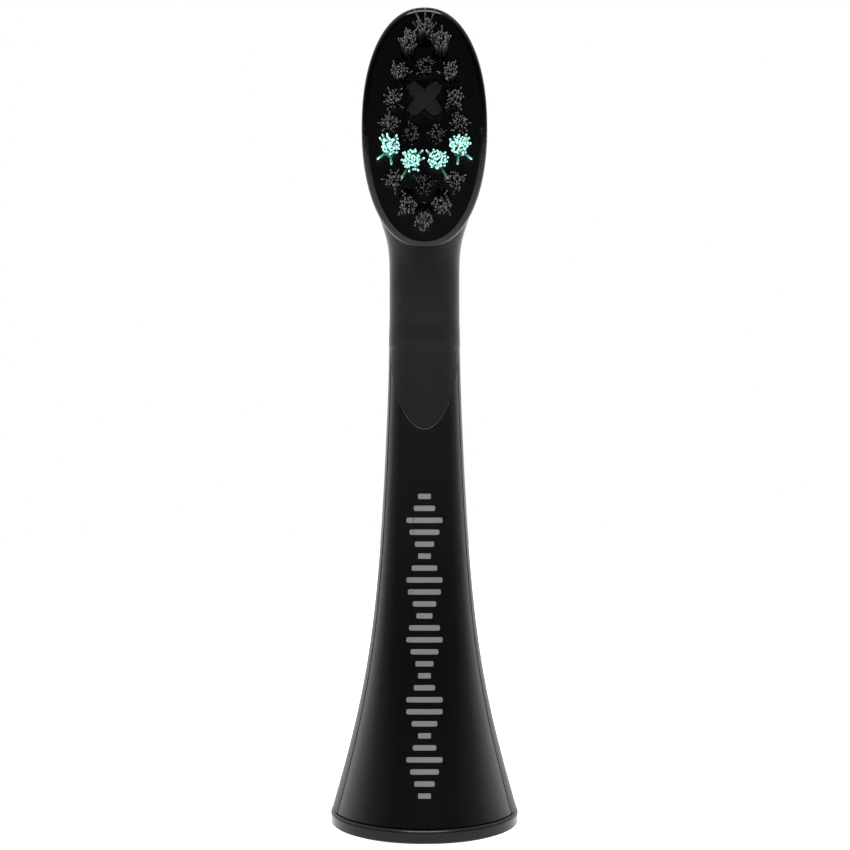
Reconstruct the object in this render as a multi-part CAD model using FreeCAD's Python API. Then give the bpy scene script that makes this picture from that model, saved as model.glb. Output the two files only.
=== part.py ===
import FreeCAD, Part
import math
import os

from FreeCAD import Matrix, Vector

# Replaceable brush head of a sonic toothbrush, in millimetres.
# The Z axis is the drive axis, the bristles point along -Y and X runs across the head.
# The origin is where the drive axis meets the slanted face that seats on the handle.

# ---- overall sizes ----
skirt_length = 46.0  # slanted seat face to the end of the flare
neck_length = 7.9  # straight neck between the flare and the head
head_length = 22.6
head_width = 11.8
head_thickness = 4.8  # at the middle of the crown
neck_diameter = 6.64
neck_inset = 0.02  # the neck is this much thinner than the end of the flare
neck_blend = 2.0  # height over which the flare's end closes onto the neck
neck_overlap = 2.0
base_diameter = 17.6  # outside of the base ring
seat_slant = 12.2  # degrees: the seat face is lower at the front

# ---- flare of the skirt ----
skirt_start_diameter = 18.1  # the flare carried down to the seat face
flare_low_pull = 1.12  # how far the lower pull stands out from the neck's radius
flare_low_height = 15.75
flare_high_pull = 1.19
flare_high_height = 18.24
flare_collar = 8.0  # upright end of the flare, below the neck
wall = 1.7  # skirt with its cover, measured across the axis

# ---- front cover ----
cover_thickness = 0.8
cover_half_angle = 72.0  # degrees each side of the front
tongue_tip_drop = 9.0  # tip of the stem's tongue, below the end of the flare
tongue_slope = 68.4  # degrees of the plane that cuts the tongue
seam_gap = 0.10
seat_clearance = 0.05  # cover and socket in their pockets
cover_sink = 0.04  # cover's face below the stem's
edge_round = 0.12
peg_radius = 0.5
peg_angle = 20.0  # degrees each side of the front
peg_heights = (6.5, 11.5)

# ---- base ring ----
ring_height = 1.3
ring_top_round = 0.35
ring_foot_round = 0.15
ring_gap = 0.12  # shadow gap between the ring and the skirt
ring_lip_height = 2.4  # upstand inside the skirt
ring_lip_thickness = 0.8
ring_clearance = 0.07
bead_height = 0.7
bead_depth = 0.18
bead_rise = 1.5  # middle of the snap bead above the ring's top

# ---- head ----
head_roundness = 2.2  # exponent of the oval outline
face_step = 0.6  # face of the head in front of the neck
face_round = 0.6
crown_round = 1.1
crown_half_width = 9.15  # half axes of the ellipsoid that crowns the back
crown_half_depth = 5.5
crown_half_length = 16.0

# ---- drive socket and its spring ----
socket_start = 5.0  # mouth of the socket above the seat face
guide_radius = 2.05
guide_length = 4.0
key_radius = 1.85  # keyed bore beyond the guide
key_flat = 1.2  # flat of the key, from the axis
key_end_cap = 1.0
socket_wall = 0.6
socket_min_skin = 0.55  # least stem wall left around the socket's pocket
fin_thickness = 1.0
fin_start = 5.8
window_width = 3.2
spring_thickness = 0.3
spring_width = 2.2
spring_clearance = 0.06
spring_offset = 2.95  # middle of the spring's fixed leg, behind the axis
spring_height = 15.0  # bend between the spring's leg and its tongue
tongue_length = 5.4
tongue_bite = 0.5  # how far the detent stands into the line of the guide bore
detent_share = 0.68  # place of the detent along the tongue
leg_length = 4.2
boss_wall = 0.5

# ---- tufts and polishing cross ----
tuft_radius = 0.75
tuft_tip_radius = 0.93
tuft_depth = 3.0
tuft_tip_round = 0.3
outer_tuft_height = 9.5
teal_tuft_height = 9.8
inner_tuft_height = 8.0
anchor_thickness = 0.25
anchor_width = 1.95
anchor_height = 1.3
anchor_lift = 0.35  # under side of the anchor above the hole's end
cross_reach = 1.62  # half of the cross's width
cross_arm = 0.64  # half of an arm's width
cross_height = 6.4
cross_depth = 2.4
cross_round = 0.18
cross_centre = 2.55  # above the middle of the head

# Tufts, as (row, across, along, splay, height): places on the face from the middle of the head, a mirrored
# pair wherever "across" isn't zero, and the splay in degrees towards the tip of the head.
tuft_rows = (
    ("tip", 0.0, 8.2, 8.0, outer_tuft_height),
    ("shoulder", 1.5, 7.05, 8.0, outer_tuft_height),
    ("inner_upper", 0.0, 5.55, 0.0, inner_tuft_height),
    ("upper", 2.3, 4.9, 2.0, outer_tuft_height),
    ("upper_side", 2.85, 2.6, 0.0, outer_tuft_height),
    ("middle_side", 3.2, 0.3, 0.0, outer_tuft_height),
    ("inner_middle", 1.2, -0.75, 0.0, inner_tuft_height),
    ("teal_side", 3.2, -2.05, 2.0, teal_tuft_height),
    ("teal_inner", 1.2, -3.2, 0.0, teal_tuft_height),
    ("lower", 2.8, -4.75, -2.0, outer_tuft_height),
    ("inner_lower", 0.0, -5.35, 0.0, inner_tuft_height),
    ("heel_side", 1.6, -6.4, -7.0, outer_tuft_height),
    ("heel", 0.0, -7.75, -8.0, outer_tuft_height),
)

# ---- places that follow from the sizes ----
FAR = 60.0  # larger than the whole part
neck_radius = neck_diameter / 2
base_radius = base_diameter / 2
head_bottom = skirt_length + neck_length
head_middle = head_bottom + head_length / 2
face_y = -(neck_radius + face_step)
crown_y = face_y + head_thickness
skirt_foot = ring_height + ring_gap
tongue_tip = skirt_length - tongue_tip_drop
lip_top = ring_height + ring_lip_height
slope = math.tan(math.radians(seat_slant))

ORIGIN = Vector(0, 0, 0)
ACROSS = Vector(1, 0, 0)
UP = Vector(0, 0, 1)


# ---- small helpers ----
def box(x0, x1, y0, y1, z0, z1):
    return Part.makeBox(x1 - x0, y1 - y0, z1 - z0, Vector(x0, y0, z0))


def prism(points, direction):
    return Part.Face(Part.makePolygon(points + points[:1])).extrude(direction)


def turned(shape, axis, degrees, centre=ORIGIN):
    copy = shape.copy()
    copy.rotate(centre, axis, degrees)
    return copy


def sheared(shape):
    """The shape with every point raised in step with its depth, as the seat face is slanted."""
    matrix = Matrix()
    matrix.A32 = slope
    return shape.transformGeometry(matrix)


def under_plane(point, degrees):
    """A half space under a plane through the point, tipped about the X axis."""
    block = box(-FAR, FAR, -2 * FAR, 2 * FAR, -2 * FAR, 0)
    block.rotate(ORIGIN, ACROSS, degrees)
    block.translate(point)
    return block


def over_seat(height):
    """A half space above the slanted plane at this height."""
    block = box(-FAR, FAR, -FAR, FAR, 0, 2 * FAR)
    block.rotate(ORIGIN, ACROSS, seat_slant)
    block.translate(Vector(0, 0, height))
    return block


def spun(edges):
    return Part.Face(Part.Wire(edges)).revolve(ORIGIN, UP, 360)


def line(a, b):
    return Part.LineSegment(a, b).toShape()


# ---- the flare ----
def flare(inset):
    """The skirt's outline as a curve in the XZ plane, moved in by the inset."""
    poles = (
        (skirt_start_diameter / 2, 0),
        (neck_radius + flare_low_pull, flare_low_height),
        (neck_radius + flare_high_pull, flare_high_height),
        (neck_radius, skirt_length - flare_collar),
        (neck_radius, skirt_length),
    )
    curve = Part.BezierCurve()
    curve.setPoles([Vector(r - inset, 0, z) for r, z in poles])
    return curve


def flare_radius(height, inset=0.0):
    curve = flare(inset)
    low, high = 0.0, 1.0
    for _ in range(50):
        middle = (low + high) / 2
        if curve.value(middle).z < height:
            low = middle
        else:
            high = middle
    return curve.value(low).x


def flare_height(radius):
    """The height at which the skirt has narrowed to this radius."""
    low, high = 0.0, skirt_length
    for _ in range(50):
        middle = (low + high) / 2
        if flare_radius(middle) > radius:
            low = middle
        else:
            high = middle
    return low


def skirt_body(inset):
    """The whole flare as a solid, moved in by the inset, up to the neck."""
    edge = flare(inset)
    first, last = edge.value(0), edge.value(1)
    closed = last + Vector(-2 * neck_inset, 0, neck_blend)
    top = Vector(0, 0, closed.z)
    outline = [
        line(ORIGIN, first),
        edge.toShape(),
        line(last, closed),
        line(closed, top),
        line(top, ORIGIN),
    ]
    return sheared(spun(outline))


def cover_wedge(gap):
    """The sector in front that the cover fills, closed in by the gap on each side."""
    angle = math.radians(cover_half_angle)
    apex = -gap / math.sin(angle)
    x, y = FAR * math.sin(angle), FAR * math.cos(angle)
    corners = [(0, apex), (x, apex - y), (x, -FAR), (-x, -FAR), (-x, apex - y)]
    low = [Vector(px, py, -FAR) for px, py in corners]
    return prism(low, Vector(0, 0, 2 * FAR))


def under_tongue(gap):
    """Everything below the plane that ends the stem's tongue."""
    front = Vector(0, -flare_radius(tongue_tip), tongue_tip)
    normal = Vector(
        0, -math.sin(math.radians(tongue_slope)), math.cos(math.radians(tongue_slope))
    )
    return under_plane(front - normal * gap, tongue_slope)


def peg(angle, height, radius, start, end):
    """A round peg that points outwards from the axis."""
    direction = Vector(
        math.sin(math.radians(angle)), -math.cos(math.radians(angle)), 0
    )
    rise = -math.cos(math.radians(angle)) * start * slope
    foot = Vector(0, 0, height + rise) + direction * start
    return Part.makeCylinder(radius, end - start, foot, direction)


def cover_pegs(radius):
    """The four pegs that hold the cover, from the cavity to the cover's inner face."""
    found = []
    for height in peg_heights:
        inner = flare_radius(height) - wall
        outer = flare_radius(height) - cover_thickness / 2
        for side in (-1, 1):
            found.append(peg(side * peg_angle, height, radius, inner, outer))
    return found


# ---- stem: head, neck and rear shell ----
def head_outline(points=64):
    """The closed oval of the head, in the XZ plane."""
    ring = []
    for i in range(points):
        a = 2 * math.pi * i / points
        c, s = math.cos(a), math.sin(a)
        x = math.copysign(abs(c) ** (2 / head_roundness), c) * head_width / 2
        z = math.copysign(abs(s) ** (2 / head_roundness), s) * head_length / 2
        ring.append(Vector(x, face_y, head_middle + z))
    curve = Part.BSplineCurve()
    curve.interpolate(Points=ring, PeriodicFlag=True)
    return curve.toShape()


def head_pebble():
    """The head: a flat oval face with a rounded rim, and a crowned back."""
    face = Part.Face(Part.Wire([head_outline()]))
    slab = face.extrude(Vector(0, head_thickness + 1, 0))
    rim = [e for e in slab.Edges if abs(e.BoundBox.YMax - face_y) < 1e-3]
    slab = slab.makeFillet(face_round, rim)
    matrix = Matrix()
    matrix.A11 = crown_half_width
    matrix.A22 = crown_half_depth
    matrix.A33 = crown_half_length
    crown = Part.makeSphere(1.0, ORIGIN, UP, -90, 90, 360).transformGeometry(matrix)
    crown.translate(Vector(0, crown_y - crown_half_depth, head_middle))
    pebble = slab.common(crown)
    back = [e for e in pebble.Edges if e.BoundBox.YMin > face_y + face_round + 0.1]
    return pebble.makeFillet(crown_round, [e for e in back if e.Length > head_width])


def neck_section(height, half_width, front, back):
    """An elliptical section whose seam is always on the +X side."""
    curve = Part.Circle(ORIGIN, UP, 1.0).toBSpline()
    half_depth = (back - front) / 2
    centre = (back + front) / 2
    for i in range(1, curve.NbPoles + 1):
        p = curve.getPole(i)
        curve.setPole(i, Vector(p.x * half_width, centre + p.y * half_depth, height))
    return Part.Wire([curve.toShape()])


def smooth(points):
    curve = Part.BSplineCurve()
    curve.buildFromPoles(points, False, 3)
    return curve


def neck(sections=26):
    """The neck, spreading sideways and thinning towards the head's crown."""
    radius = neck_radius - neck_inset
    spread = head_width / 2 - radius
    drop = radius - crown_y
    # height from the head's lower end, share of the spread, sink of the front, share of the drop
    stations = (
        (-neck_length - neck_overlap, 0.0, 0.0, 0.0),
        (-neck_length * 0.55, 0.0, 0.0, 0.0),
        (-1.6, -0.02, 0.05, 0.05),
        (0.6, 0.05, 0.12, 0.3),
        (2.6, 0.32, 0.18, 0.55),
        (5.0, 0.62, 0.2, 0.75),
        (8.0, 0.82, 0.3, 0.95),
        (11.5, 0.5, 0.6, 1.1),
        (14.0, 0.1, 1.0, 1.3),
    )
    sides = smooth([Vector(radius + spread * s, 0, head_bottom + z) for z, s, _, _ in stations])
    depths = smooth(
        [Vector(f - radius, radius - drop * d, head_bottom + z) for z, _, f, d in stations]
    )
    wires = []
    for i in range(sections + 1):
        side, depth = sides.value(i / sections), depths.value(i / sections)
        wires.append(neck_section(side.z, side.x, depth.x, depth.y))
    return Part.makeLoft(wires, True, False)


def snap_bead(clearance):
    """The low ridge round the ring's lip, or with a clearance the groove it snaps into."""
    middle = ring_height + bead_rise
    half = bead_height / 2 + clearance
    back = wall + ring_clearance + ring_lip_thickness / 2
    crest = flare_radius(middle, wall) + bead_depth + clearance
    corners = [
        (flare_radius(middle - half, back), middle - half),
        (flare_radius(middle - half, wall + ring_clearance), middle - half),
        (crest, middle - half * 0.3),
        (crest, middle + half * 0.1),
        (flare_radius(middle + half, wall + ring_clearance), middle + half),
        (flare_radius(middle + half, back), middle + half),
    ]
    points = [Vector(r, 0, z) for r, z in corners]
    edges = [line(a, b) for a, b in zip(points, points[1:] + points[:1])]
    return sheared(spun(edges))


# ---- places inside the skirt ----
socket_radius = guide_radius + socket_wall
guide_end = socket_start + guide_length
socket_top = flare_height(socket_radius + socket_min_skin + cover_thickness + 2 * seat_clearance)
leg_start = spring_height + spring_thickness / 2 + seat_clearance
boss_depth = spring_offset + spring_thickness / 2 + spring_clearance + boss_wall
boss_half_width = spring_width / 2 + spring_clearance + boss_wall
boss_top = leg_start + leg_length + boss_wall


def socket_outside(clearance):
    """Outline of the socket's tube and boss, or with a clearance the pocket for it."""
    radius = socket_radius + clearance
    low = socket_start - clearance
    tube = Part.makeCylinder(radius, socket_top - low, Vector(0, 0, low))
    half = boss_half_width + clearance
    boss = box(-half, half, 0, boss_depth + clearance, leg_start - clearance, boss_top + clearance)
    return tube.fuse(boss)


def fins():
    """Four thin walls that centre the socket, their feet standing on the ring's lip."""
    room = skirt_body(wall + seat_clearance).common(over_seat(lip_top + seat_clearance))
    foot_radius = flare_radius(lip_top, wall + ring_clearance) - ring_lip_thickness
    clear = Part.makeCylinder(foot_radius, FAR, Vector(0, 0, fin_start - FAR))
    half = fin_thickness / 2
    reach = base_radius
    plates = []
    for angle in (45, -45):
        plate = box(-reach, reach, -half, half, -reach, leg_start)
        plates.append(turned(plate, UP, angle))
    both = plates[0].fuse(plates[1])
    return both.common(room).cut([clear, Part.makeCylinder(key_radius, FAR)])


def drive_socket():
    """The socket the handle's drive shaft goes into: guide, keyed bore, window for the spring."""
    body = socket_outside(0).fuse(fins())
    guide = Part.makeCylinder(guide_radius, guide_length, Vector(0, 0, socket_start))
    keyed_length = socket_top - key_end_cap - guide_end
    keyed = Part.makeCylinder(key_radius, keyed_length, Vector(0, 0, guide_end))
    keyed = keyed.common(box(-FAR, FAR, -key_flat, FAR, 0, FAR))
    half = window_width / 2
    window = box(-half, half, 0, socket_radius + 1, guide_end, leg_start)
    return body.cut([guide, keyed, window, spring_leg(spring_clearance)])


# ---- retaining spring ----
def spring_leg(clearance=0.0):
    half = spring_width / 2 + clearance
    deep = spring_thickness / 2 + clearance
    top = leg_start + leg_length + clearance
    return box(-half, half, spring_offset - deep, spring_offset + deep, leg_start, top)


def strip(points, thickness, width):
    """A flat strip, bent along the points in the YZ plane."""
    half = thickness / 2
    sides = ([], [])
    for i, p in enumerate(points):
        before = (p - points[i - 1]).normalize() if i else None
        after = (points[i + 1] - p).normalize() if i + 1 < len(points) else None
        along = (before or after) + (after or before)
        along.normalize()
        normal = Vector(0, -along.z, along.y)
        lean = along.dot(after or before)
        for side, sign in zip(sides, (1, -1)):
            side.append(p + normal * (sign * half / lean) - ACROSS * (width / 2))
    return prism(sides[0] + sides[1][::-1], ACROSS * width)


def spring_tongue():
    """The moving end of the spring: from the bend down to the detent and its lead-in."""
    half = spring_thickness / 2
    bend = Vector(0, spring_offset, spring_height)
    detent = Vector(
        0,
        guide_radius - tongue_bite + half,
        spring_height - tongue_length * detent_share,
    )
    end = Vector(0, guide_radius + 0.35, spring_height - tongue_length)
    blade = strip([bend, detent, end], spring_thickness, spring_width)
    corner = bend - ACROSS * (spring_width / 2)
    return blade.fuse(Part.makeCylinder(half, spring_width, corner, ACROSS))


# ---- base ring ----
def base_ring():
    """The ring at the foot of the skirt, with a lip that snaps inside."""
    inner = flare_radius(0, wall + ring_clearance + ring_lip_thickness)
    band = Part.makeCylinder(base_radius, 2 * FAR, Vector(0, 0, -FAR))
    band = band.common(over_seat(0)).cut(over_seat(ring_height))
    edges = [e for e in band.Edges if len(e.Vertexes) == 1]
    upper = [e for e in edges if e.CenterOfMass.z > ring_height / 2]
    band = band.makeFillet(ring_top_round, upper)
    lower = [e for e in band.Edges if len(e.Vertexes) == 1 and abs(e.CenterOfMass.z) < 0.05]
    band = band.makeFillet(ring_foot_round, lower)
    band = band.cut(Part.makeCylinder(inner, 2 * FAR, Vector(0, 0, -FAR)))
    clear = wall + ring_clearance
    low = ring_height / 2
    corners = [
        (inner, low),
        (flare_radius(ring_height, clear), low),
        (flare_radius(ring_height, clear), ring_height),
        (flare_radius(lip_top, clear), lip_top),
        (flare_radius(lip_top, clear) - ring_lip_thickness, lip_top),
    ]
    points = [Vector(r, 0, z) for r, z in corners]
    lip = sheared(spun([line(a, b) for a, b in zip(points, points[1:] + points[:1])]))
    return band.fuse([lip, snap_bead(0)])


# ---- tufts ----
def tuft_places():
    """Name, root on the face and tilt of every tuft."""
    places = []
    for row, across, along, splay, height in tuft_rows:
        sides = (("", 0),) if across == 0 else (("_left", -1), ("_right", 1))
        for suffix, sign in sides:
            root = Vector(sign * across, face_y, head_middle + along)
            places.append((row + suffix, root, splay, height))
    return places


def tuft(height):
    """One tuft along +Z: a straight root, then slightly wider towards a rounded tip."""
    low = -(tuft_depth - seat_clearance)
    root = tuft_radius - 0.03
    edges = [
        line(Vector(0, 0, low), Vector(root, 0, low)),
        line(Vector(root, 0, low), Vector(root, 0, 0)),
        line(Vector(root, 0, 0), Vector(tuft_tip_radius, 0, height - tuft_tip_round)),
        line(
            Vector(tuft_tip_radius, 0, height - tuft_tip_round),
            Vector(tuft_tip_radius - tuft_tip_round, 0, height),
        ),
        line(Vector(tuft_tip_radius - tuft_tip_round, 0, height), Vector(0, 0, height)),
        line(Vector(0, 0, height), Vector(0, 0, low)),
    ]
    return spun(edges)


def anchor():
    """The flat metal staple that pins a tuft in its hole."""
    low = -tuft_depth + anchor_lift
    wide, thin = anchor_width / 2, anchor_thickness / 2
    return box(-thin, thin, -wide, wide, low, low + anchor_height)


def put(shape, root, splay):
    """A shape made along +Z, turned to point out of the face and tipped by the splay."""
    copy = turned(shape, ACROSS, 90 - splay)
    copy.translate(root)
    return copy


# ---- polishing cross ----
def cross(grow, low, high):
    """An X-shaped column with round ends, along +Z."""
    arm = cross_arm + grow
    half = (cross_reach - cross_arm) * math.sqrt(2)
    bars = []
    for angle in (45, -45):
        parts = [box(-half, half, -arm, arm, low, high)]
        for x in (-half, half):
            parts.append(Part.makeCylinder(arm, high - low, Vector(x, 0, low)))
        bars.append(turned(parts[0].fuse(parts[1:]).removeSplitter(), UP, angle))
    return bars[0].fuse(bars[1]).removeSplitter()


def polisher():
    body = cross(0, -(cross_depth - seat_clearance), cross_height)
    tip = [e for e in body.Edges if e.BoundBox.ZMin > cross_height - 1e-3]
    return put(body.makeFillet(cross_round, tip), cross_root, 0)


cross_root = Vector(0, face_y, head_middle + cross_centre)


# ---- stem and cover ----
def stem():
    """Head, neck and rear shell in one piece, hollow below."""
    skirt = skirt_body(0).common(over_seat(skirt_foot))
    body = skirt.fuse([neck(), head_pebble()])
    cavity_end = socket_top - 2.0
    cavity = skirt_body(wall).common(box(-FAR, FAR, -FAR, FAR, -FAR, cavity_end))
    outside = skirt_body(-1).cut(skirt_body(cover_thickness + seat_clearance))
    recess = outside.common(cover_wedge(0)).common(under_tongue(0))
    tools = [cavity, recess, socket_outside(seat_clearance), snap_bead(ring_clearance)]
    tools += cover_pegs(peg_radius + seat_clearance)
    hole = Part.makeCylinder(tuft_radius, tuft_depth + 1, Vector(0, 0, -tuft_depth))
    for _, root, splay, _ in tuft_places():
        tools.append(put(hole, root, splay))
        tools.append(put(anchor(), root, splay))
    tools.append(put(cross(0.02, -cross_depth, 1.0), cross_root, 0))
    return body.cut(tools)


def front_cover():
    """The cover in front of the skirt, from the tongue down to the ring."""
    shell = skirt_body(cover_sink).cut(skirt_body(cover_thickness))
    shell = shell.common(cover_wedge(seam_gap)).common(under_tongue(seam_gap))
    shell = shell.common(over_seat(skirt_foot))
    return shell.fuse(cover_pegs(peg_radius))


# ---- the nodes ----
def build():
    nodes = {
        "stem": stem(),
        "front_cover": front_cover(),
        "base_ring": base_ring(),
        "drive_socket": drive_socket(),
        "spring_leg": spring_leg(),
        "spring_tongue": spring_tongue(),
        "polisher": polisher(),
    }
    staples = []
    for name, root, splay, height in tuft_places():
        staple = put(anchor(), root, splay)
        staples.append(staple)
        nodes["tuft_" + name] = put(tuft(height), root, splay).cut(staple)
    nodes["tuft_anchors"] = Part.makeCompound(staples)
    return nodes


os.makedirs("parts", exist_ok=True)
for name, shape in build().items():
    shape.exportStep("parts/" + name + ".step")
    bounds = shape.BoundBox
    print(
        "%-26s valid %s solids %2d volume %9.3f  x %.2f..%.2f y %.2f..%.2f z %.2f..%.2f"
        % (
            name, shape.isValid(), len(shape.Solids), shape.Volume,
            bounds.XMin, bounds.XMax, bounds.YMin, bounds.YMax, bounds.ZMin, bounds.ZMax,
        )
    )
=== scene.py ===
import math
import random

import bmesh
import bpy
from mathutils import Matrix, Vector


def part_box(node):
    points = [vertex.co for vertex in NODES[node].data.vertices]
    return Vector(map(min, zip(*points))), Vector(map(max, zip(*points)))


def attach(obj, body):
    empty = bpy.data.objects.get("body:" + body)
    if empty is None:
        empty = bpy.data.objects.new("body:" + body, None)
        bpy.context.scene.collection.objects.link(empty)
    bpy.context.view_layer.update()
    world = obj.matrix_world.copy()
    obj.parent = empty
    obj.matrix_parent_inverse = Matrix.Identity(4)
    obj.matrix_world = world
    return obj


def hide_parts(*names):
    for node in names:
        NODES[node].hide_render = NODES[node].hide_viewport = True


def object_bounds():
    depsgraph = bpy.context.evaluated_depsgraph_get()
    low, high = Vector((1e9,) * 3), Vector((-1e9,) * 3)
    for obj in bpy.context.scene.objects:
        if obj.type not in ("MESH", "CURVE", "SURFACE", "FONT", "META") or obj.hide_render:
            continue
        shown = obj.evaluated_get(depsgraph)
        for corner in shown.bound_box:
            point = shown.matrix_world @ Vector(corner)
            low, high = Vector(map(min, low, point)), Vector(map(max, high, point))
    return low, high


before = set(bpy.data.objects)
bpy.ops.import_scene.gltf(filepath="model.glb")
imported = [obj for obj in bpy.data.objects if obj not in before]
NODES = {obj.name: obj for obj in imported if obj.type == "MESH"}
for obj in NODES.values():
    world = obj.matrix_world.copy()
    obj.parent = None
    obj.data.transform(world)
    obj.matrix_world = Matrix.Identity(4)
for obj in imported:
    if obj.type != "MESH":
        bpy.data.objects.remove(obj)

CAD_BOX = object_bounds()
MM = 0.001
HEAD_BODY = "brush_body"
TUFT_DEPTH = 2.95 * MM  # from the head's face to the root of a tuft
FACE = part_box("tuft_inner_lower")[1].y - TUFT_DEPTH
TEAL_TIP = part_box("tuft_teal_side_left")[0].y
HEAD_START = 52.0 * MM  # height at which the neck turns into the head


# ---------------------------------------------------------------- shader groups
CLOUD_SCALE = 180.0  # patches a few millimetres across


def new_group(name, inputs, outputs):
    group = bpy.data.node_groups.new(name, "ShaderNodeTree")
    for label, kind, value in inputs:
        socket = group.interface.new_socket(name=label, in_out="INPUT", socket_type=kind)
        socket.default_value = value
    for label, kind in outputs:
        group.interface.new_socket(name=label, in_out="OUTPUT", socket_type=kind)
    nodes = group.nodes
    return group, nodes.new("NodeGroupInput"), nodes.new("NodeGroupOutput")


def moulded_grain_group():
    """Fine moulded texture: a height for bump and a small spread of roughness and tone."""
    group, given, out = new_group(
        "moulded_grain",
        [
            ("Base", "NodeSocketColor", (0.02, 0.02, 0.02, 1)),
            ("Grain Scale", "NodeSocketFloat", 4000.0),
            ("Roughness", "NodeSocketFloat", 0.5),
            ("Roughness Spread", "NodeSocketFloat", 0.08),
            ("Tone Spread", "NodeSocketFloat", 0.2),
        ],
        [
            ("Color", "NodeSocketColor"),
            ("Roughness", "NodeSocketFloat"),
            ("Height", "NodeSocketFloat"),
        ],
    )
    nodes, links = group.nodes, group.links
    place = nodes.new("ShaderNodeTexCoord")
    grain = nodes.new("ShaderNodeTexNoise")
    grain.inputs["Detail"].default_value = 3.0
    links.new(place.outputs["Object"], grain.inputs["Vector"])
    links.new(given.outputs["Grain Scale"], grain.inputs["Scale"])
    cloud = nodes.new("ShaderNodeTexNoise")
    cloud.inputs["Scale"].default_value = CLOUD_SCALE
    cloud.inputs["Detail"].default_value = 4.0
    links.new(place.outputs["Object"], cloud.inputs["Vector"])

    centred = nodes.new("ShaderNodeMath")
    centred.operation = "SUBTRACT"
    centred.inputs[1].default_value = 0.5
    links.new(cloud.outputs["Fac"], centred.inputs[0])

    def spread_about(factor, start=None):
        """The cloud times the factor, about the start, or about one."""
        node = nodes.new("ShaderNodeMath")
        node.operation = "MULTIPLY_ADD"
        links.new(centred.outputs[0], node.inputs[0])
        links.new(factor, node.inputs[1])
        if start is None:
            node.inputs[2].default_value = 1.0
        else:
            links.new(start, node.inputs[2])
        return node.outputs[0]

    rough = spread_about(given.outputs["Roughness Spread"], given.outputs["Roughness"])
    tone = spread_about(given.outputs["Tone Spread"])
    shade = nodes.new("ShaderNodeVectorMath")
    shade.operation = "SCALE"
    links.new(given.outputs["Base"], shade.inputs[0])
    links.new(tone, shade.inputs["Scale"])
    links.new(shade.outputs[0], out.inputs["Color"])
    links.new(rough, out.inputs["Roughness"])
    links.new(grain.outputs["Fac"], out.inputs["Height"])
    return group


GRAIN = moulded_grain_group()


# ---------------------------------------------------------------- materials
GRAIN_HEIGHT = 0.00002
COAT_ROUGHNESS = 0.05
TIP_LIGHT_SHARE = 0.4  # how much of the painted tip light shows halfway up a filament
SPECK_SCALE = 2600.0
SPECK_SHARE = 0.45
# Painted shade: the near-black colour painted on the head's flat face, darker than the neck.
FACE_PAINTED_SHADE = 0.0006
FACE_ROUGHNESS = 0.13


def plain_material(name):
    material = bpy.data.materials.new(name)
    material.use_nodes = True
    tree = material.node_tree
    return material, tree.nodes, tree.links, tree.nodes["Principled BSDF"]


def moulded(
    name, colour, roughness, spread, grain_scale, bump, coat=0.0, specular=0.5, tone=0.2
):
    """A moulded plastic or rubber with its own grain."""
    material, nodes, links, shader = plain_material(name)
    group = nodes.new("ShaderNodeGroup")
    group.node_tree = GRAIN
    group.inputs["Base"].default_value = (*colour, 1)
    group.inputs["Grain Scale"].default_value = grain_scale
    group.inputs["Roughness"].default_value = roughness
    group.inputs["Roughness Spread"].default_value = spread
    group.inputs["Tone Spread"].default_value = tone
    links.new(group.outputs["Color"], shader.inputs["Base Color"])
    links.new(group.outputs["Roughness"], shader.inputs["Roughness"])
    relief = nodes.new("ShaderNodeBump")
    relief.inputs["Strength"].default_value = bump
    relief.inputs["Distance"].default_value = GRAIN_HEIGHT
    links.new(group.outputs["Height"], relief.inputs["Height"])
    links.new(relief.outputs["Normal"], shader.inputs["Normal"])
    shader.inputs["Coat Weight"].default_value = coat
    shader.inputs["Coat Roughness"].default_value = COAT_ROUGHNESS
    shader.inputs["Specular IOR Level"].default_value = specular
    return material


def metal(name, colour, roughness, scratch_scale):
    """Rolled strip metal with fine lines along its length."""
    material, nodes, links, shader = plain_material(name)
    place = nodes.new("ShaderNodeTexCoord")
    stretch = nodes.new("ShaderNodeMapping")
    stretch.inputs["Scale"].default_value = scratch_scale
    lines = nodes.new("ShaderNodeTexNoise")
    lines.inputs["Scale"].default_value = 1.0
    ramp = nodes.new("ShaderNodeMapRange")
    ramp.inputs["To Min"].default_value = roughness * 0.7
    ramp.inputs["To Max"].default_value = roughness * 1.3
    links.new(place.outputs["Object"], stretch.inputs["Vector"])
    links.new(stretch.outputs[0], lines.inputs["Vector"])
    links.new(lines.outputs["Fac"], ramp.inputs["Value"])
    links.new(ramp.outputs[0], shader.inputs["Roughness"])
    shader.inputs["Base Color"].default_value = (*colour, 1)
    shader.inputs["Metallic"].default_value = 1.0
    return material


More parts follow.
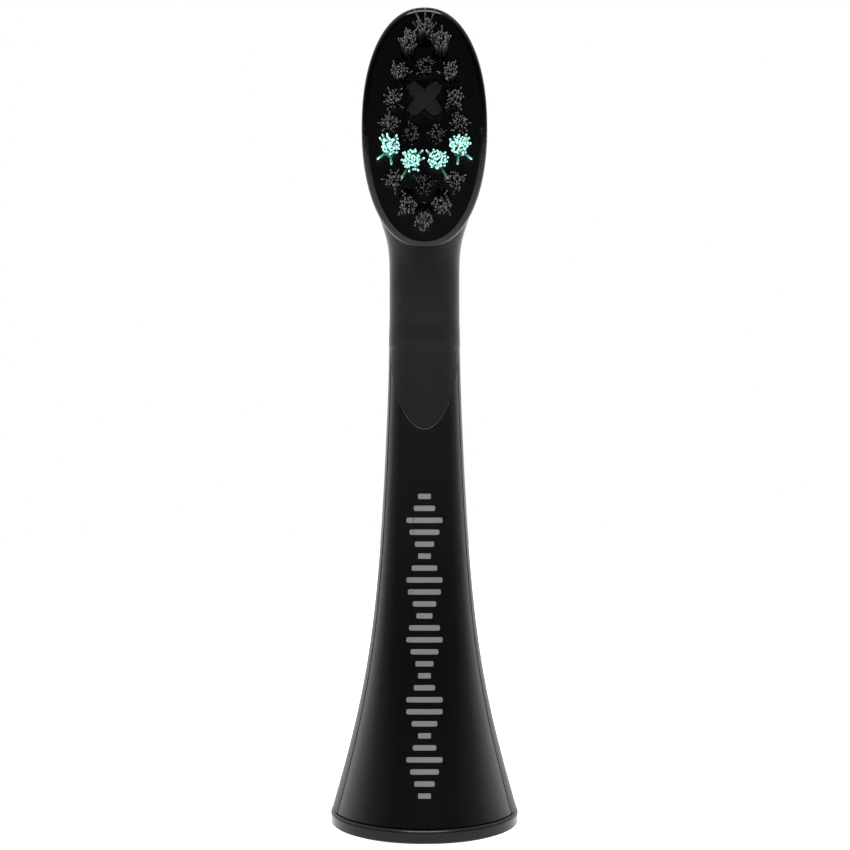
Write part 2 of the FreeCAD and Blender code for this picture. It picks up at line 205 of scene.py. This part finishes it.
def nylon(name, shaded_root_colour, lit_tip_colour, roughness):
    """Filament nylon with painted light: painted shade down among the roots, a painted
    highlight at the tips.
    """
    material, nodes, links, shader = plain_material(name)
    place = nodes.new("ShaderNodeTexCoord")
    parts = nodes.new("ShaderNodeSeparateXYZ")
    depth = nodes.new("ShaderNodeMapRange")
    depth.inputs["From Min"].default_value = FACE
    depth.inputs["From Max"].default_value = TEAL_TIP
    # Painted light: shade painted at the roots, brightening to a painted highlight at the tips.
    ramp = nodes.new("ShaderNodeValToRGB")
    ramp.color_ramp.elements[0].position = 0.1
    ramp.color_ramp.elements[0].color = (*shaded_root_colour, 1)
    ramp.color_ramp.elements[1].position = 0.97
    ramp.color_ramp.elements[1].color = (*lit_tip_colour, 1)
    middle = ramp.color_ramp.elements.new(0.6)
    mixed = [a + (b - a) * TIP_LIGHT_SHARE for a, b in zip(shaded_root_colour, lit_tip_colour)]
    middle.color = (*mixed, 1)
    speck = nodes.new("ShaderNodeTexNoise")
    speck.inputs["Scale"].default_value = SPECK_SCALE
    vary = nodes.new("ShaderNodeMix")
    vary.data_type = "RGBA"
    vary.blend_type = "MULTIPLY"
    vary.inputs["Factor"].default_value = SPECK_SHARE
    links.new(place.outputs["Object"], parts.inputs[0])
    links.new(parts.outputs["Y"], depth.inputs["Value"])
    links.new(depth.outputs[0], ramp.inputs["Fac"])
    links.new(place.outputs["Object"], speck.inputs["Vector"])
    links.new(ramp.outputs["Color"], vary.inputs["A"])
    links.new(speck.outputs["Color"], vary.inputs["B"])
    links.new(vary.outputs["Result"], shader.inputs["Base Color"])
    shader.inputs["Roughness"].default_value = roughness
    return material


def shade_and_smooth_head_face(material):
    """Makes the flat of the head smoother than the neck, and paints shade on it: a deeper black
    than the neck, by its place.
    """
    nodes, links = material.node_tree.nodes, material.node_tree.links
    shader = nodes["Principled BSDF"]
    colour = shader.inputs["Base Color"].links[0].from_socket
    place = nodes.new("ShaderNodeTexCoord")
    parts = nodes.new("ShaderNodeSeparateXYZ")
    links.new(place.outputs["Object"], parts.inputs[0])
    steps = []
    ranges = (
        ("Y", FACE + 0.5 * MM, FACE + 0.08 * MM),
        ("Z", HEAD_START, HEAD_START + MM),
    )
    for axis, low, high in ranges:
        step = nodes.new("ShaderNodeMapRange")
        step.inputs["From Min"].default_value = low
        step.inputs["From Max"].default_value = high
        links.new(parts.outputs[axis], step.inputs["Value"])
        steps.append(step.outputs[0])
    both = nodes.new("ShaderNodeMath")
    both.operation = "MULTIPLY"
    links.new(steps[0], both.inputs[0])
    links.new(steps[1], both.inputs[1])
    # Painted shade: mixes the head's face towards the near-black shade colour.
    mix = nodes.new("ShaderNodeMix")
    mix.data_type = "RGBA"
    mix.inputs["B"].default_value = (FACE_PAINTED_SHADE, FACE_PAINTED_SHADE, FACE_PAINTED_SHADE, 1)
    links.new(both.outputs[0], mix.inputs["Factor"])
    links.new(colour, mix.inputs["A"])
    links.new(mix.outputs["Result"], shader.inputs["Base Color"])
    rough = shader.inputs["Roughness"].links[0].from_socket
    blend = nodes.new("ShaderNodeMix")
    blend.data_type = "FLOAT"
    blend.inputs["B"].default_value = FACE_ROUGHNESS
    links.new(both.outputs[0], blend.inputs["Factor"])
    links.new(rough, blend.inputs["A"])
    links.new(blend.outputs["Result"], shader.inputs["Roughness"])


MATTE_BLACK = moulded(
    "matte_black", (0.0035, 0.0035, 0.0036), 0.3, 0.03, 5200.0, 0.05, specular=0.2
)
# The matte black gets a smoother head face with painted shade on it.
shade_and_smooth_head_face(MATTE_BLACK)
GLOSS_BLACK = moulded(
    "gloss_black", (0.0015, 0.0015, 0.0016), 0.16, 0.03, 900.0, 0.01, coat=0.3, tone=0.1
)
RING_BLACK = moulded(
    "ring_black", (0.004, 0.004, 0.0041), 0.27, 0.05, 4200.0, 0.08, specular=0.2
)
SOCKET_GREY = moulded("socket_grey", (0.06, 0.06, 0.062), 0.42, 0.08, 2400.0, 0.1)
POLISHER_RUBBER = moulded(
    "polisher_rubber", (0.0035, 0.0035, 0.0036), 0.4, 0.06, 3600.0, 0.12, specular=0.1
)
PRINT_GREY = moulded(
    "print_grey", (0.09, 0.09, 0.092), 0.4, 0.05, 6000.0, 0.05, tone=0.3
)
SPRING_STEEL = metal("spring_steel", (0.6, 0.6, 0.62), 0.28, (300.0, 300.0, 9000.0))
ANCHOR_METAL = metal("anchor_metal", (0.30, 0.28, 0.25), 0.45, (3000.0, 3000.0, 300.0))
# Both bristle materials paint shade at the roots and a highlight at the tips.
BRISTLE_BLACK = nylon("bristle_black", (0.003, 0.003, 0.003), (0.10, 0.10, 0.102), 0.4)
BRISTLE_TEAL = nylon("bristle_teal", (0.03, 0.36, 0.29), (0.50, 0.93, 0.85), 0.45)

FINISHES = {
    "stem": MATTE_BLACK,
    "front_cover": GLOSS_BLACK,
    "base_ring": RING_BLACK,
    "drive_socket": SOCKET_GREY,
    "spring_leg": SPRING_STEEL,
    "spring_tongue": SPRING_STEEL,
    "tuft_anchors": ANCHOR_METAL,
    "polisher": POLISHER_RUBBER,
}


def dress_cad_nodes():
    for name, material in FINISHES.items():
        for slot in NODES[name].material_slots:
            slot.material = material


dress_cad_nodes()


# ---------------------------------------------------------------- finished pieces
def finished(name, mesh, material, replaced=()):
    piece = bpy.data.objects.new(name, mesh)
    bpy.context.scene.collection.objects.link(piece)
    mesh.materials.append(material)
    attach(piece, HEAD_BODY)
    if replaced:
        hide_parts(*replaced)


def to_mesh(name, bm):
    bmesh.ops.recalc_face_normals(bm, faces=bm.faces)
    for face in bm.faces:
        face.smooth = True
    mesh = bpy.data.meshes.new(name)
    bm.to_mesh(mesh)
    bm.free()
    return mesh


# ---------------------------------------------------------------- tufts of filaments
HOLE_RADIUS = 0.68 * MM  # within which the filaments leave the head
START_DEPTH = 1.2 * MM  # a filament's foot below the head's face
TIP_MARGIN = 0.1 * MM  # keeps the longest filament inside the CAD tuft's height
END_BAND = 0.16 * MM
FILAMENT_SIDES = 5
FILAMENT_RINGS = 5
BEND = 0.9
DOME_WIDTH = 0.55  # of the filament's own width
DOME_HEIGHT = 0.7  # of the filament's radius
GOLDEN_TURN = math.pi * (3 - math.sqrt(5))
DROP_SPREAD = 0.22  # unevenness of the cut, in millimetres
EDGE_DROP = 0.25  # how much lower the outer filaments end, in millimetres

# Strays of a tuft: how far the tip of each filament lands from the tuft's own tip,
# across and along the head, in millimetres.
STRAYS = {
    "tuft_tip": [(-0.9, 1.5), (0.08, 1.7), (0.95, 1.45), (-1.05, 0.35), (1.1, 0.3)],
    "tuft_teal_side_left": [(-1.15, -1.3), (0.12, -1.75), (-0.95, 0.65), (-0.7, 0.95)],
    "tuft_teal_side_right": [(1.15, -1.3), (-0.12, -1.75), (0.95, 0.65), (0.7, 0.95)],
    "tuft_teal_inner_left": [(-0.95, -1.7), (0.35, 0.95), (1.0, 0.85)],
    "tuft_teal_inner_right": [(0.95, -1.7), (-0.35, 0.95), (-1.0, 0.85)],
    "tuft_upper_side_left": [(0.85, -0.95), (-0.6, -1.15), (-0.55, 0.95)],
    "tuft_upper_side_right": [(-0.85, -0.95), (0.6, -1.15), (0.55, 0.95)],
    "tuft_middle_side_left": [(-1.1, -0.05), (-0.75, 0.3)],
    "tuft_middle_side_right": [(1.1, -0.05), (0.75, 0.3)],
    "tuft_lower_left": [(0.1, -1.45), (0.85, 0.35)],
    "tuft_lower_right": [(-0.1, -1.45), (-0.85, 0.35)],
    "tuft_upper_left": [(1.15, -0.1), (-0.6, 0.9)],
    "tuft_upper_right": [(-1.15, -0.1), (0.6, 0.9)],
    "tuft_heel_side_left": [(-0.8, -0.95), (-0.5, 1.3)],
    "tuft_heel_side_right": [(0.8, -0.95), (0.5, 1.3)],
}


def tuft_line(node):
    """Middle of the root and of the tip of a tuft, read from its CAD solid."""
    mesh = NODES[node].data
    points = [v.co for v in mesh.vertices]
    low, high = min(p.y for p in points), max(p.y for p in points)

    def middle(level):
        ring = [p for p in points if abs(p.y - level) < END_BAND]
        lo = [min(p[i] for p in ring) for i in range(3)]
        hi = [max(p[i] for p in ring) for i in range(3)]
        return Vector([(a + b) / 2 for a, b in zip(lo, hi)])

    return middle(high), middle(low)


def add_filament(bm, points, radius):
    """One filament: a ring of points drawn along a bent line, closed with a domed tip."""
    start = (points[1] - points[0]).normalized()
    turn = Vector((0, 0, 1)).rotation_difference(start)
    place = Matrix.Translation(points[0]) @ turn.to_matrix().to_4x4()
    ring = bmesh.ops.create_circle(
        bm, segments=FILAMENT_SIDES, radius=radius, matrix=place
    )["verts"]
    edges = list({e for v in ring for e in v.link_edges})
    for before, after in zip(points, points[1:]):
        made = bmesh.ops.extrude_edge_only(bm, edges=edges)["geom"]
        verts = [g for g in made if isinstance(g, bmesh.types.BMVert)]
        edges = [g for g in made if isinstance(g, bmesh.types.BMEdge)]
        bmesh.ops.translate(bm, verts=verts, vec=after - before)
    made = bmesh.ops.extrude_edge_only(bm, edges=edges)["geom"]
    verts = [g for g in made if isinstance(g, bmesh.types.BMVert)]
    along = (points[-1] - points[-2]).normalized()
    bmesh.ops.scale(
        bm, vec=Vector((DOME_WIDTH, DOME_WIDTH, DOME_WIDTH)), verts=verts,
        space=Matrix.Translation(-points[-1]),
    )
    bmesh.ops.translate(bm, verts=verts, vec=along * radius * DOME_HEIGHT)
    edges = [g for g in made if isinstance(g, bmesh.types.BMEdge)]
    bmesh.ops.contextual_create(bm, geom=edges)


def filament_points(root, tip, bow):
    """Points along a filament that leaves the hole straight and bends towards its tip."""
    points = []
    for i in range(FILAMENT_RINGS + 1):
        t = i / FILAMENT_RINGS
        points.append(root.lerp(tip, t) - bow * (t * (1 - t) * BEND))
    return points


def build_tuft(node, count, radius, spread, ragged, material, slot, seed):
    """A tuft of separate filaments, fanned out a little towards the tips."""
    rng = random.Random(seed)
    root_middle, tip_middle = tuft_line(node)
    axis = (tip_middle - root_middle).normalized()
    start = root_middle + axis * ((FACE + START_DEPTH - root_middle.y) / axis.y)
    tip_middle = tip_middle - axis * TIP_MARGIN
    bm = bmesh.new()
    for i in range(count):
        r = math.sqrt((i + 0.5) / count)
        a = i * GOLDEN_TURN + seed
        across = Vector((math.cos(a), 0, math.sin(a)))
        root = start + across * (r * HOLE_RADIUS)
        wander = Vector((rng.gauss(0, 1), 0, rng.gauss(0, 1))) * ragged
        fan = across * (r * spread) + wander
        drop = abs(rng.gauss(0, DROP_SPREAD)) + EDGE_DROP * r * r
        tip = tip_middle + fan * MM - axis * drop * MM
        bow = Vector((fan.x, 0, fan.z)) * MM * rng.uniform(0.4, 1.0)
        add_filament(bm, filament_points(root, tip, bow), radius)
    for across, along in STRAYS.get(node, ()):
        shift = Vector((across, 0, along)) * MM
        tip = tip_middle + shift - axis * (0.5 + 0.35 * shift.length / MM) * MM
        root = start + shift.normalized() * HOLE_RADIUS * 0.9
        add_filament(bm, filament_points(root, tip, shift * 1.1), radius)
    name = node + "_filaments"
    finished(name, to_mesh(name, bm), material, [node])


# Count, filament radius, spread, raggedness, material and slot of each kind of tuft.
TEAL_TUFT = (84, 0.105 * MM, 0.84, 0.13, BRISTLE_TEAL, "bristle_teal")
BLACK_TUFT = (52, 0.06 * MM, 0.72, 0.2, BRISTLE_BLACK, "bristle_black")


def build_all_tufts():
    tufts = sorted(n for n in NODES if n.startswith("tuft_") and n != "tuft_anchors")
    for seed, node in enumerate(tufts):
        build_tuft(node, *(TEAL_TUFT if "teal" in node else BLACK_TUFT), seed)


build_all_tufts()


# ---------------------------------------------------------------- print on the cover
BAR_WIDTHS = (
    1.2, 1.9, 2.7, 3.4, 2.2, 1.2, 2.4, 3.4, 3.4, 2.0, 1.2, 1.7,
    2.6, 3.4, 2.9, 1.5, 2.2, 3.1, 3.4, 2.4, 1.2, 1.8, 2.8, 3.4, 2.0, 1.2,
)
BAR_PITCH = 1.12 * MM
BAR_HEIGHT = 0.5 * MM
PRINT_LOW = 2.6 * MM
INK = 0.006 * MM
CORNER = 0.16 * MM


def drape_on_cover(bm):
    """Lays the flat print on the cover, from in front."""
    cover = NODES["front_cover"]
    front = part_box("front_cover")[0].y - 10 * MM
    for vertex in bm.verts:
        outside = Vector((vertex.co.x, front, vertex.co.z))
        found, hit, _, _ = cover.ray_cast(outside, Vector((0, 1, 0)))
        if found:
            vertex.co.y = hit.y - INK


def build_print():
    bm = bmesh.new()
    for i, width in enumerate(BAR_WIDTHS):
        place = Matrix.Translation((0, 0, PRINT_LOW + i * BAR_PITCH)) @ Matrix.Rotation(
            math.pi / 2, 4, "X"
        )
        place = place @ Matrix.Diagonal((width * MM / 2, BAR_HEIGHT / 2, 1, 1))
        bmesh.ops.create_grid(bm, x_segments=12, y_segments=2, size=1.0, matrix=place)
    corners = [v for v in bm.verts if len(v.link_edges) == 2]
    bmesh.ops.bevel(
        bm, geom=corners, offset=CORNER, offset_type="OFFSET", segments=3,
        profile=0.5, affect="VERTICES", material=-1,
    )
    drape_on_cover(bm)
    finished("cover_print", to_mesh("cover_print", bm), PRINT_GREY)


build_print()


# ---------------------------------------------------------------- floor, light and camera
FLOOR_GAP = 0.03 * MM
FLOOR_SIZE = 3.0
# How bright the studio is, from in front of the part (0) to behind it (1).
STUDIO_STOPS = ((0.0, 0.01), (0.5, 0.03), (0.7, 0.2), (0.85, 0.62), (1.0, 1.1))
OVERHEAD = 1.6  # how much a place overhead counts as one behind
MIDDLE = (0, 0, 0.037)
LENS = 540.0
SENSOR = 36.0
CAMERA_PLACE = (0.00005, -1.2, 0.0373)


def build_floor():
    bm = bmesh.new()
    low = CAD_BOX[0].z - FLOOR_GAP
    bmesh.ops.create_grid(
        bm, x_segments=1, y_segments=1, size=FLOOR_SIZE, matrix=Matrix.Translation((0, 0, low))
    )
    mesh = bpy.data.meshes.new("floor")
    bm.to_mesh(mesh)
    bm.free()
    floor = bpy.data.objects.new("floor", mesh)
    bpy.context.scene.collection.objects.link(floor)
    material, nodes, links, shader = plain_material("floor_white")
    shader.inputs["Base Color"].default_value = (0.9, 0.9, 0.9, 1)
    shader.inputs["Roughness"].default_value = 0.9
    shader.inputs["Specular IOR Level"].default_value = 0.0
    shader.inputs["Emission Color"].default_value = (1, 1, 1, 1)
    shader.inputs["Emission Strength"].default_value = 1.0
    mesh.materials.append(material)


def build_world():
    """White to the eye, but it lights from behind and above, so the black front stays black."""
    world = bpy.data.worlds.new("studio")
    world.use_nodes = True
    nodes, links = world.node_tree.nodes, world.node_tree.links
    background = nodes["Background"]
    path = nodes.new("ShaderNodeLightPath")
    place = nodes.new("ShaderNodeTexCoord")
    parts = nodes.new("ShaderNodeSeparateXYZ")
    ramp = nodes.new("ShaderNodeValToRGB")
    depth = nodes.new("ShaderNodeMapRange")
    depth.inputs["From Min"].default_value = -1.0
    depth.inputs["From Max"].default_value = 1.0
    stops = ramp.color_ramp.elements
    for position, _ in STUDIO_STOPS[1:-1]:
        stops.new(position)
    for stop, (_, level) in zip(stops, STUDIO_STOPS):
        stop.color = (level, level, level, 1)
    seen = nodes.new("ShaderNodeMix")
    seen.data_type = "RGBA"
    seen.inputs["B"].default_value = (1, 1, 1, 1)
    links.new(place.outputs["Generated"], parts.inputs[0])
    above = nodes.new("ShaderNodeMath")
    above.operation = "MAXIMUM"
    above.inputs[1].default_value = 0.0
    lifted = nodes.new("ShaderNodeMath")
    lifted.operation = "MULTIPLY_ADD"
    lifted.inputs[1].default_value = OVERHEAD
    links.new(parts.outputs["Z"], above.inputs[0])
    links.new(above.outputs[0], lifted.inputs[0])
    links.new(parts.outputs["Y"], lifted.inputs[2])
    links.new(lifted.outputs[0], depth.inputs["Value"])
    links.new(depth.outputs[0], ramp.inputs["Fac"])
    links.new(ramp.outputs["Color"], seen.inputs["A"])
    links.new(path.outputs["Is Camera Ray"], seen.inputs["Factor"])
    links.new(seen.outputs["Result"], background.inputs["Color"])
    background.inputs["Strength"].default_value = 1.0
    bpy.context.scene.world = world


def add_soft_light(name, place, target, size, power):
    light = bpy.data.lights.new(name, "AREA")
    light.shape = "RECTANGLE"
    light.size, light.size_y = size
    light.energy = power
    lamp = bpy.data.objects.new(name, light)
    lamp.location = place
    lamp.rotation_euler = (Vector(target) - Vector(place)).to_track_quat("-Z", "Y").to_euler()
    bpy.context.scene.collection.objects.link(lamp)


def build_camera():
    """Level with the middle of the part, far off, as with a long lens."""
    camera = bpy.data.cameras.new("camera")
    camera.sensor_width = SENSOR
    camera.lens = LENS
    camera.clip_start = 0.05
    camera.clip_end = 20.0
    eye = bpy.data.objects.new("camera", camera)
    eye.location = CAMERA_PLACE
    eye.rotation_euler = (math.pi / 2, 0, 0)
    bpy.context.scene.collection.objects.link(eye)
    bpy.context.scene.camera = eye


build_floor()
build_world()
add_soft_light("front_high", (0.0, -0.36, 0.56), MIDDLE, (0.40, 0.16), 5.6)
build_camera()
bpy.context.scene.view_settings.view_transform = "Standard"
